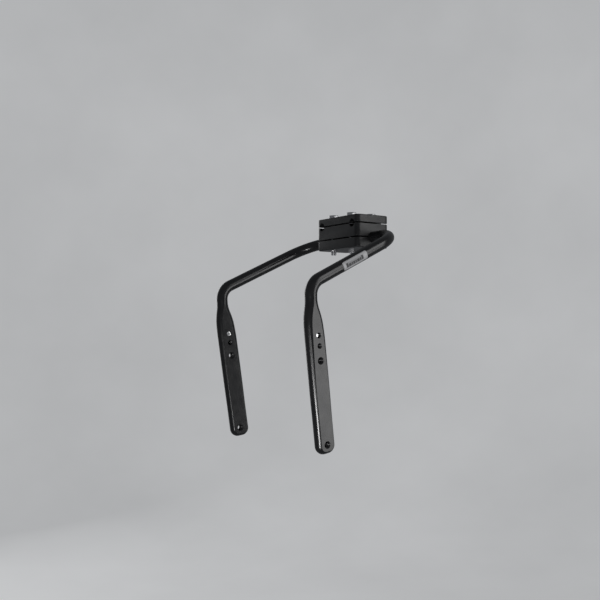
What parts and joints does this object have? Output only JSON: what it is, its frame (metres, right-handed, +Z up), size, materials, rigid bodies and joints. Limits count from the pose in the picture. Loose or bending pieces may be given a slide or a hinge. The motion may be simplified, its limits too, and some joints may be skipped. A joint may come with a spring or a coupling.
{
  "type": "saddle bag stabilizer bracket",
  "caption": "Bent-bar bracket that clamps to saddle rails; its arms run back and turn down into flat drilled legs that keep a saddle bag from swinging.",
  "frame": {"origin": "midway between the two saddle rails, at the middle of the clamp", "axes": "+X forward along the rails, +Y to the bicycle's left, +Z up"},
  "size_m": [0.1135, 0.1492, 0.1941],
  "materials": {
    "bar": "black anodised, satin",
    "clamp": "black anodised, satin",
    "screws": "stainless",
    "washers": "stainless",
    "studs": "polished stainless",
    "label": "silver foil, bare"
  },
  "bodies": {
    "clamp": {"clamp_block": "clamp", "rail_cap": "clamp", "bar_cap": "clamp", "cap_bolts": "screws", "bolt_washers": "washers"},
    "bar": {"bent_bar": "bar", "leg_studs": "studs", "label_right": "label", "label_left": "label"}
  },
  "joints": [
    {"name": "bar_tilt", "type": "hinge", "parent": "clamp", "child": "bar", "pos_m": [0, 0, -0.012], "axis": [0, 1, 0], "range_deg": [-30, 30]}
  ]
}
